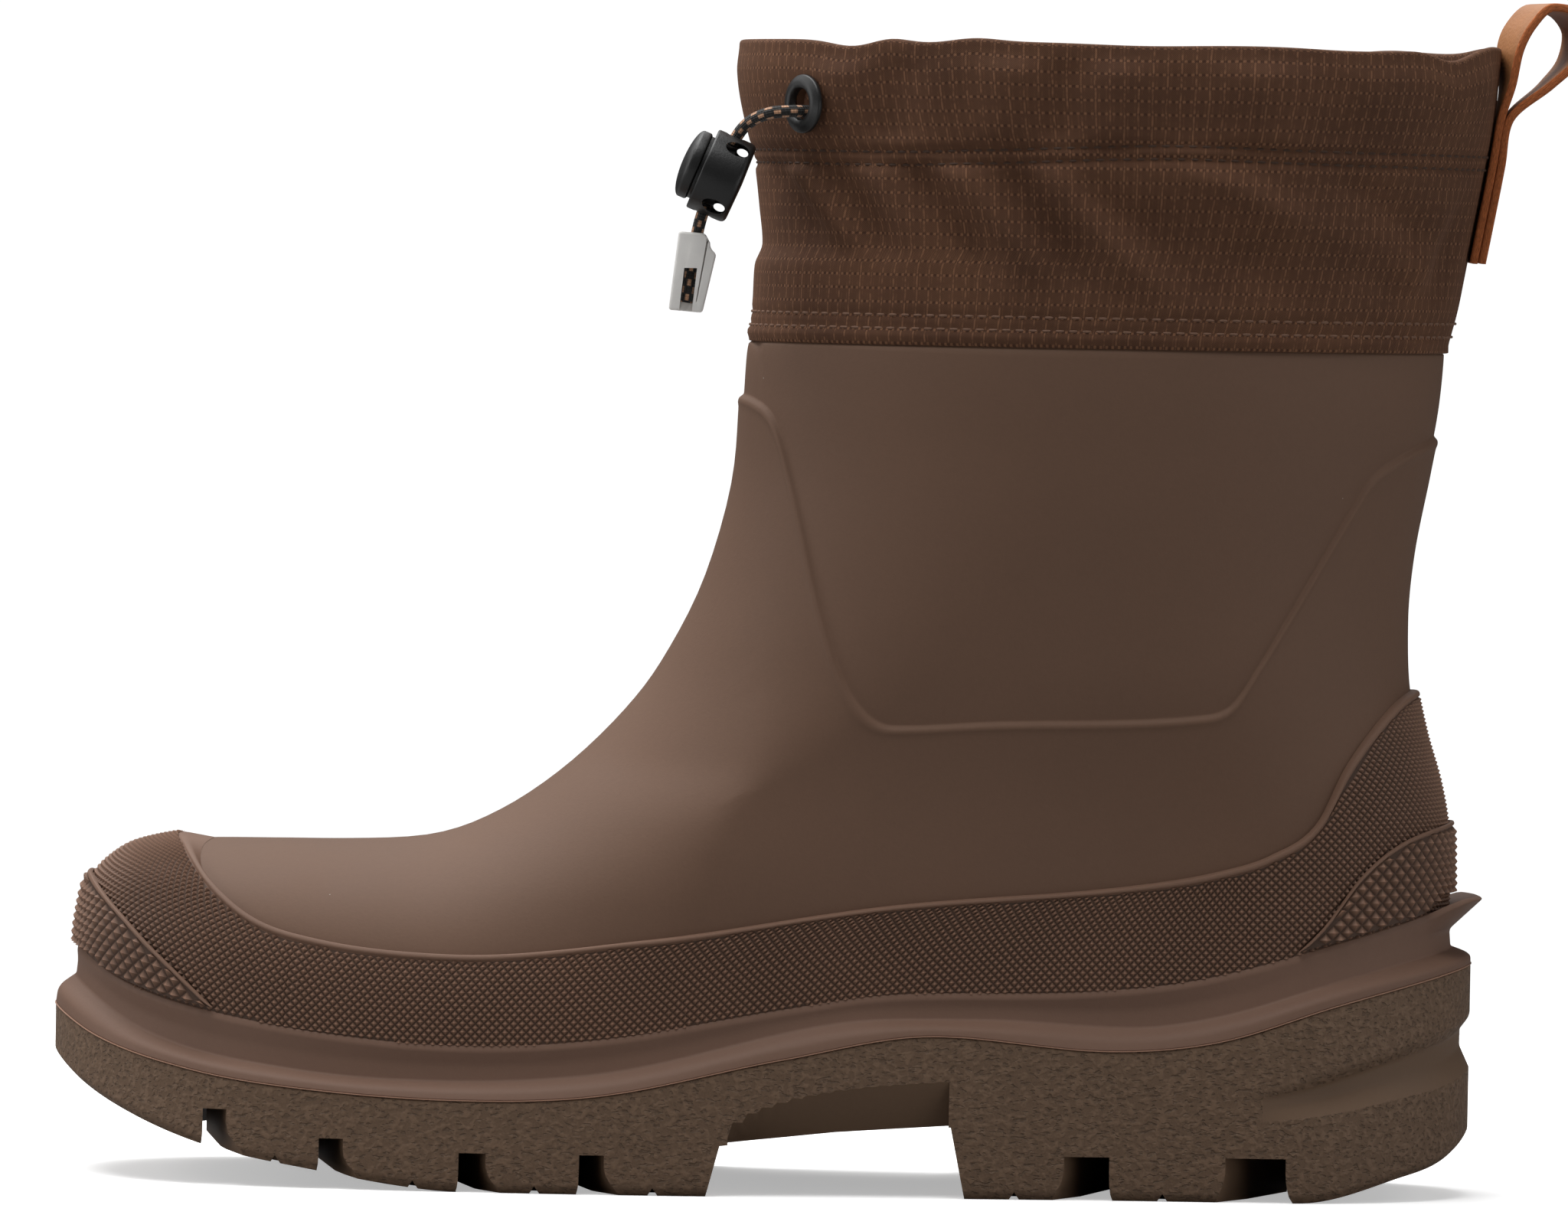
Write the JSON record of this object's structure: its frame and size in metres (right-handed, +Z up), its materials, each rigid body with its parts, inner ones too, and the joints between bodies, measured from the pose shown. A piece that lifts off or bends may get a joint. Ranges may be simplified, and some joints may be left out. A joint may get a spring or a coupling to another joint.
{
  "type": "winter boot",
  "caption": "Ankle-high rubber winter boot with a lugged sole, knurled rand and guards, a fabric cuff with drawcord and lock, and a leather pull loop.",
  "frame": {"origin": "on the floor, under the middle of the box round the boot and its pull loop", "axes": "+X from toe to heel, +Y from the outer to the inner side of the left boot, +Z up"},
  "size_m": [0.3098, 0.107, 0.2431],
  "materials": {
    "sole_rubber": "matte, pebbled",
    "welt_rubber": "satin",
    "shell_rubber": "satin",
    "rand_rubber": "knurled, matte",
    "insole_felt": "felted",
    "cuff_fabric": "ripstop weave",
    "loop_leather": "smooth tan",
    "black_plastic": "satin",
    "cord_textile": "braided",
    "clip_plastic": "milky"
  },
  "bodies": {
    "boot": {"outsole": "sole_rubber", "welt": "welt_rubber", "upper": "shell_rubber", "rand": "rand_rubber", "toe_guard": "rand_rubber", "heel_guard": "rand_rubber", "insole": "insole_felt", "cuff": "cuff_fabric", "pull_loop": "loop_leather", "eyelet": "black_plastic", "drawcord": "cord_textile", "cord_lock": "black_plastic", "cord_end": "clip_plastic"},
    "lock_button": {"cord_lock_button": "black_plastic"}
  },
  "joints": [
    {"name": "button_press", "type": "slide", "parent": "boot", "child": "lock_button", "axis": [0.9252, 0, -0.3795], "range_m": [0, 0.002], "stiffness_N_per_m": 600, "springref_m": -0.002}
  ]
}
